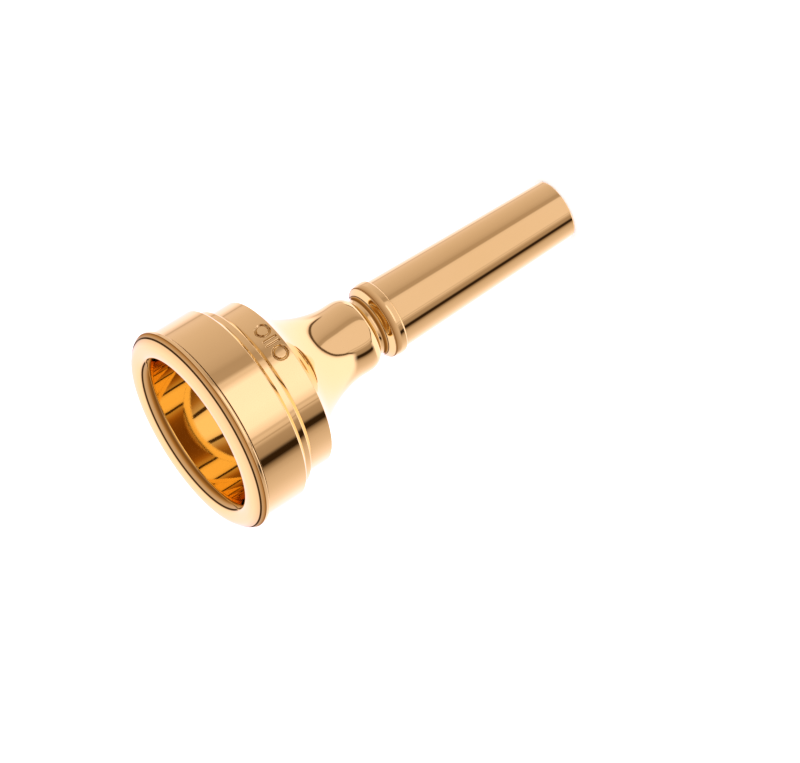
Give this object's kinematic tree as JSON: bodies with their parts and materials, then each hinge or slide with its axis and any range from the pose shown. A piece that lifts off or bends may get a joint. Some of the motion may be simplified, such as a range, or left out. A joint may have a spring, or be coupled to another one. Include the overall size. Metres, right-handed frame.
{
  "type": "brass instrument mouthpiece",
  "caption": "Large cup mouthpiece for a low brass instrument, with a tapered shank, a flared cup and a screw-on rim.",
  "frame": {"origin": "centre of the shank's flat small end, on the turning axis", "axes": "+Z along the turning axis, from the small end up to the cup's mouth; X and Y are across the axis"},
  "size_m": [0.0458, 0.0458, 0.0948],
  "materials": {
    "gold_plate": "polished gold plate over turned brass"
  },
  "bodies": {
    "shank": {"shank": "gold_plate"},
    "cup": {"cup": "gold_plate"},
    "screw_rim": {"screw_rim": "gold_plate"}
  },
  "joints": [
    {"name": "cup_unscrew", "type": "slide", "parent": "shank", "child": "cup", "axis": [0, 0, 1], "range_m": [0, 0.012]},
    {"name": "rim_unscrew", "type": "slide", "parent": "cup", "child": "screw_rim", "axis": [0, 0, 1], "range_m": [0, 0.012]}
  ]
}
